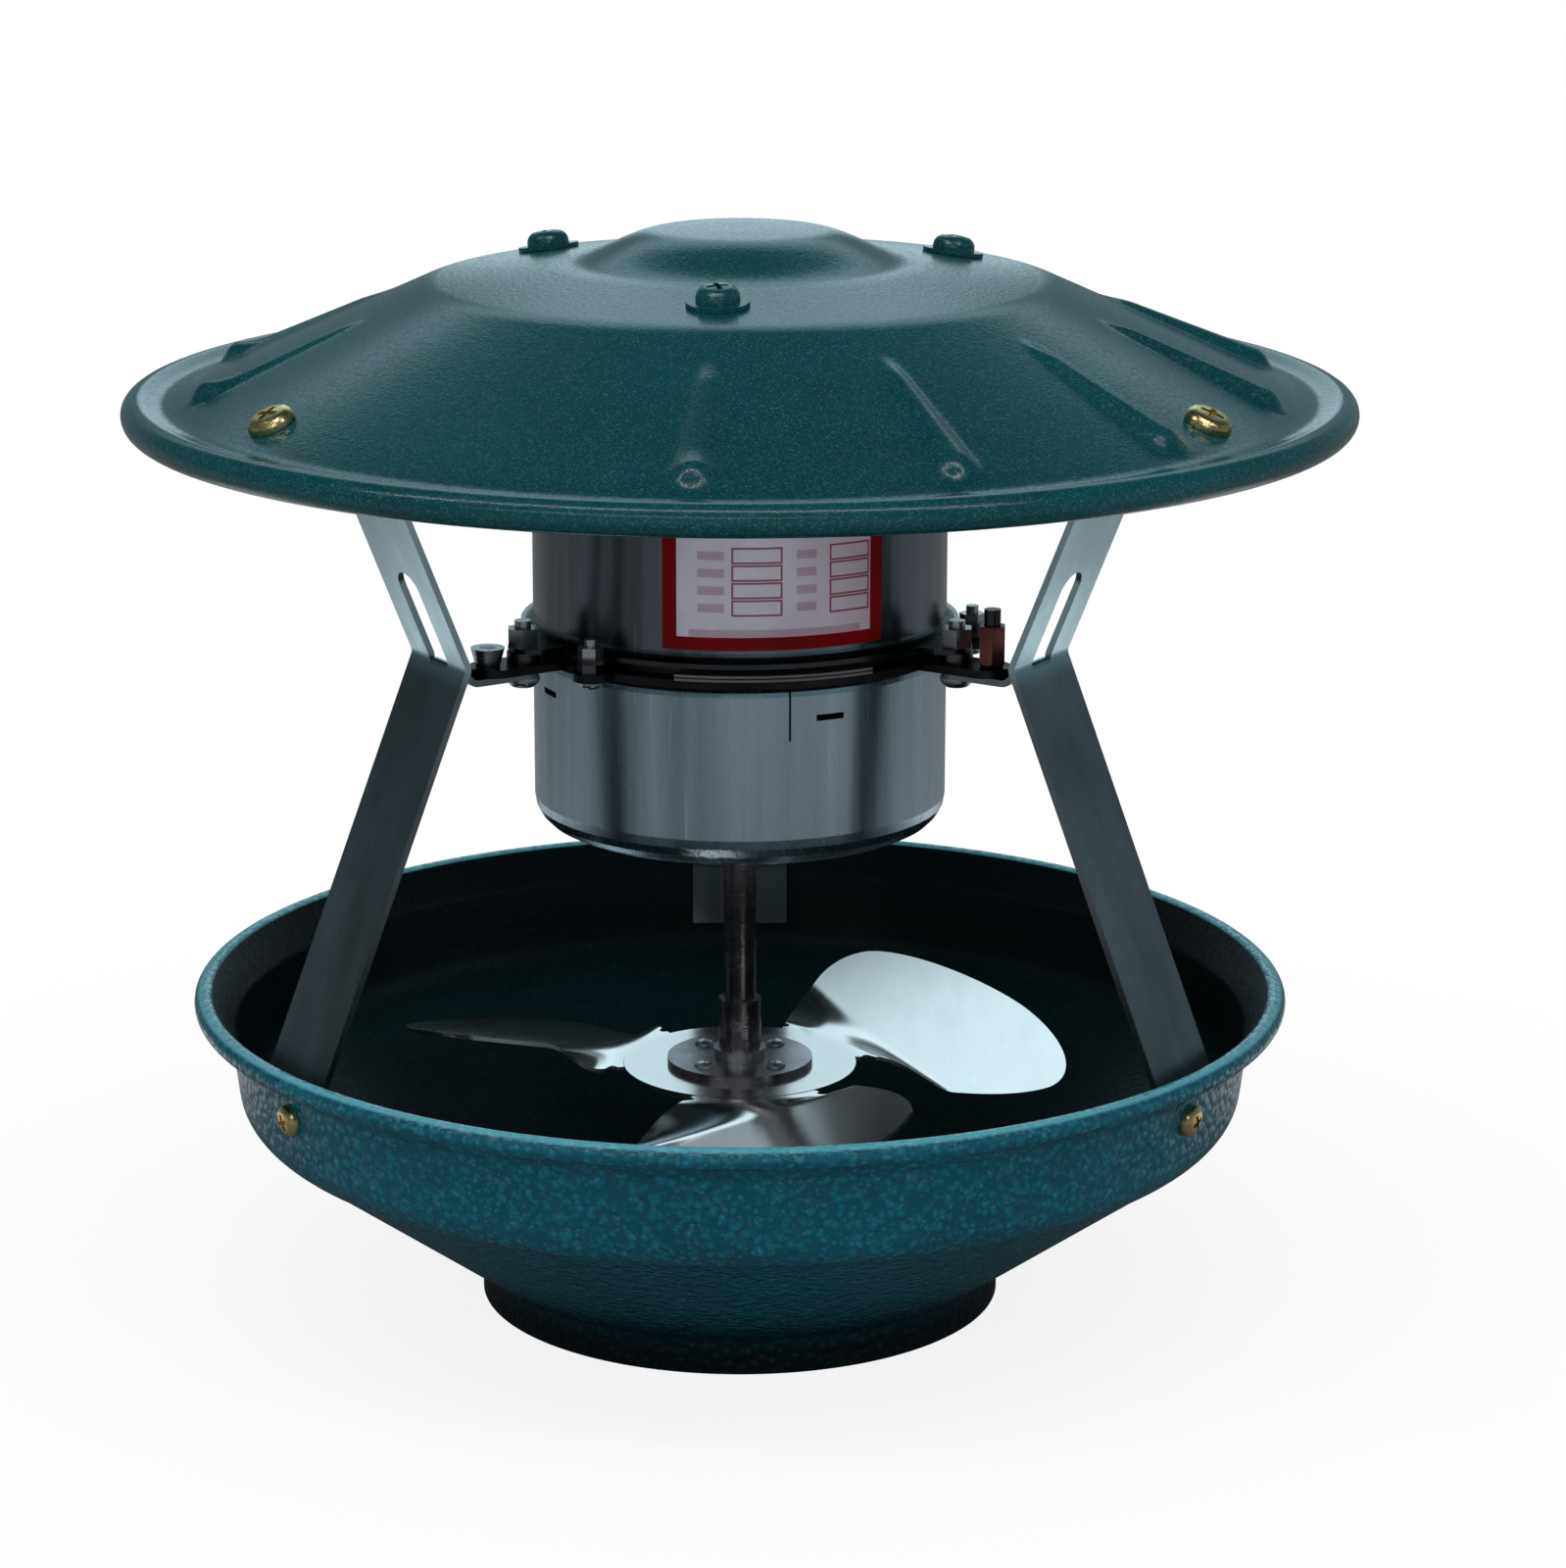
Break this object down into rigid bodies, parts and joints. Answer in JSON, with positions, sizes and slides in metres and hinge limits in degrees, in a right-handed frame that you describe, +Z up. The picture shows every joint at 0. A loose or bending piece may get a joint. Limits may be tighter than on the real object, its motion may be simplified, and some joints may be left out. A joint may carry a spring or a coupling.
{
  "type": "chimney draught fan",
  "caption": "Rain-capped chimney draught fan: a motor held between bent straps turns a paddle impeller over a round dish whose neck enters the flue.",
  "frame": {"origin": "centre of the open underside of the dish neck, on the shaft axis", "axes": "+Z up along the shaft axis, -Y towards the front of the picture, +X to its right"},
  "size_m": [0.3, 0.3, 0.2701],
  "materials": {
    "cap_paint": "hammertone, slightly sparkling",
    "dish_paint": "hammertone, coarser speckle",
    "strap_steel": "dark rolled steel",
    "motor_steel": "drawn and brushed",
    "zinc": "bright zinc plate",
    "gold_screws": "yellow passivated",
    "copper": "copper tinted",
    "dark_steel": "dark turned steel",
    "ring_black": "blackened",
    "plate_print": "silver foil with a red border",
    "blade_aluminium": "bright rolled",
    "rubber": "matt",
    "core_iron": "laminated",
    "winding_copper": "enamelled copper wire"
  },
  "bodies": {
    "housing": {"rain_cap": "cap_paint", "shelf_screws": "cap_paint", "shelf_washers": "cap_paint", "shelf_nuts": "zinc", "cap_screws": "gold_screws", "cap_nuts": "zinc", "strap_left": "strap_steel", "strap_right": "strap_steel", "strap_back": "strap_steel", "lower_dish": "dish_paint", "dish_screws": "gold_screws", "dish_nuts": "zinc", "motor_upper_shell": "motor_steel", "motor_lower_shell": "motor_steel", "mounting_ring": "ring_black", "packing_plate": "motor_steel", "rating_plate": "plate_print", "tab_bolts": "gold_screws", "tab_spacers": "dark_steel", "tab_nuts": "zinc", "clamp_screws": "zinc", "clamp_spacers": "dark_steel", "clamp_nuts": "zinc", "earth_stud": "zinc", "earth_nut": "copper", "bond_stud": "zinc", "bond_nut": "zinc", "cable_grommet": "rubber", "stator_core": "core_iron", "windings": "winding_copper", "upper_bearing": "zinc", "lower_bearing": "zinc"},
    "rotor": {"shaft": "dark_steel", "shaft_circlips": "dark_steel", "rotor_core": "core_iron", "impeller_hub": "dark_steel", "hub_collar": "zinc", "hub_rivets": "zinc", "hub_grub_screw": "dark_steel", "impeller": "blade_aluminium"}
  },
  "joints": [
    {"name": "rotor_spin", "type": "hinge", "parent": "housing", "child": "rotor", "pos_m": [0, 0, 0.12], "axis": [0, 0, 1], "continuous": true}
  ]
}
